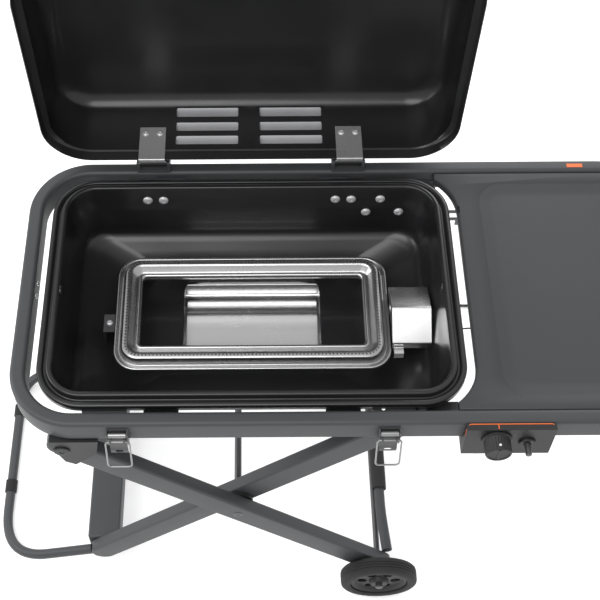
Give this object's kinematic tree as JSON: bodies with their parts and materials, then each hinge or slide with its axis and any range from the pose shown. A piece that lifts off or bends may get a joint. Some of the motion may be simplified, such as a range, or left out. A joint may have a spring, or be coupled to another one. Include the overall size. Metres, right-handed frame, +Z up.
{
  "type": "folding camp grill",
  "caption": "Gas camp grill with a lidded firebox and side table in a tubular frame, on folding scissor legs with wheels and a foot bar.",
  "frame": {"origin": "on the ground at the middle of the open grill's outline", "axes": "+X from the firebox end to the table end, +Y from the front to the hinge side, +Z up"},
  "size_m": [1.2566, 0.6776, 1.2464],
  "materials": {
    "frame_paint": "satin grey powder coat",
    "enamel": "satin black enamel",
    "table_plastic": "fine-grained dark grey",
    "black_plastic": "satin black",
    "steel": "polished stainless steel",
    "aluminium": "brushed bright metal",
    "dark_steel": "dark coated steel",
    "rubber": "matt black rubber"
  },
  "bodies": {
    "frame": {"frame_tube": "frame_paint", "side_table": "table_plastic", "firebox": "enamel", "pivot_bracket_front": "black_plastic", "pivot_bracket_rear": "black_plastic", "pivot_pin_front": "dark_steel", "pivot_pin_rear": "dark_steel", "slide_track_front": "dark_steel", "slide_track_rear": "dark_steel", "firebox_bracket_front_left": "frame_paint", "firebox_bracket_front_right": "frame_paint", "firebox_bracket_rear_left": "frame_paint", "firebox_bracket_rear_right": "frame_paint", "control_panel": "black_plastic", "gas_valve": "aluminium", "gas_tube": "steel", "igniter_lead": "rubber", "burner": "steel", "burner_bracket": "dark_steel", "burner_venturi": "aluminium", "burner_heat_shield": "aluminium", "tray_rail_front": "dark_steel", "tray_rail_rear": "dark_steel", "hinge_saddle_left": "frame_paint", "hinge_saddle_right": "frame_paint", "hinge_pin_left": "steel", "hinge_pin_right": "steel", "latch_base_left": "dark_steel", "latch_base_right": "dark_steel"},
    "lid": {"lid_shell": "enamel", "lid_handle": "dark_steel", "lid_catch_left": "dark_steel", "lid_catch_right": "dark_steel", "hinge_leaf_left": "steel", "hinge_leaf_right": "steel"},
    "legs_a": {"leg_a_front": "frame_paint", "leg_a_rear": "frame_paint", "pivot_tube": "dark_steel", "axle": "dark_steel", "cross_bar": "frame_paint", "cross_bar_sleeve": "rubber", "pivot_spacer_front": "black_plastic", "pivot_spacer_rear": "black_plastic"},
    "legs_b": {"leg_b_front": "frame_paint", "leg_b_rear": "frame_paint", "lower_cross_member": "frame_paint", "foot_bar": "frame_paint", "foot_ring_front": "rubber", "foot_ring_rear": "rubber", "slider_front": "black_plastic", "slider_rear": "black_plastic"},
    "wheel_front": {"wheel_front": "rubber"},
    "wheel_rear": {"wheel_rear": "rubber"},
    "drip_tray": {"drip_tray": "aluminium"},
    "control_knob": {"control_knob": "black_plastic"},
    "igniter_button": {"igniter_button": "black_plastic"},
    "latch_lever_left": {"latch_lever_left": "dark_steel"},
    "latch_lever_right": {"latch_lever_right": "dark_steel"},
    "latch_bail_left": {"latch_bail_left": "steel"},
    "latch_bail_right": {"latch_bail_right": "steel"}
  },
  "joints": [
    {"name": "lid_hinge", "type": "hinge", "parent": "frame", "child": "lid", "pos_m": [-0.09175, 0.21277, 0.736], "axis": [1, 0, 0], "range_deg": [0, 90]},
    {"name": "legs_a_fold", "type": "hinge", "parent": "frame", "child": "legs_a", "pos_m": [-0.39675, -0.03423, 0.64], "axis": [0, -1, 0], "range_deg": [0, 23]},
    {"name": "legs_b_fold", "type": "hinge", "parent": "legs_a", "child": "legs_b", "pos_m": [-0.11975, -0.03423, 0.358], "axis": [0, -1, 0], "range_deg": [-46, 0]},
    {"name": "wheel_front_spin", "type": "hinge", "parent": "legs_a", "child": "wheel_front", "pos_m": [0.15725, -0.31673, 0.076], "axis": [0, 1, 0], "continuous": true},
    {"name": "wheel_rear_spin", "type": "hinge", "parent": "legs_a", "child": "wheel_rear", "pos_m": [0.15725, 0.24827, 0.076], "axis": [0, 1, 0], "continuous": true},
    {"name": "drip_tray_slide", "type": "slide", "parent": "frame", "child": "drip_tray", "axis": [-1, 0, 0], "range_m": [0, 0.28]},
    {"name": "knob_turn", "type": "hinge", "parent": "frame", "child": "control_knob", "pos_m": [0.29025, -0.30921, 0.692], "axis": [0, -0.9986, 0.0536], "range_deg": [0, 200]},
    {"name": "igniter_press", "type": "slide", "parent": "frame", "child": "igniter_button", "axis": [0, 0.9986, -0.0536], "range_m": [0, 0.004], "stiffness_N_per_m": 600, "springref_m": -0.002},
    {"name": "latch_left_lever", "type": "hinge", "parent": "frame", "child": "latch_lever_left", "pos_m": [-0.30175, -0.30373, 0.702], "axis": [1, 0, 0], "range_deg": [-150, 0]},
    {"name": "latch_left_bail", "type": "hinge", "parent": "latch_lever_left", "child": "latch_bail_left", "pos_m": [-0.30175, -0.31073, 0.693], "axis": [-1, 0, 0], "range_deg": [-25, 182]},
    {"name": "latch_right_lever", "type": "hinge", "parent": "frame", "child": "latch_lever_right", "pos_m": [0.12325, -0.30373, 0.702], "axis": [1, 0, 0], "range_deg": [-150, 0]},
    {"name": "latch_right_bail", "type": "hinge", "parent": "latch_lever_right", "child": "latch_bail_right", "pos_m": [0.12325, -0.31073, 0.693], "axis": [-1, 0, 0], "range_deg": [-25, 182]}
  ],
  "couplings": [
    {"joint": "legs_b_fold", "follows": "legs_a_fold", "ratio": -2}
  ]
}
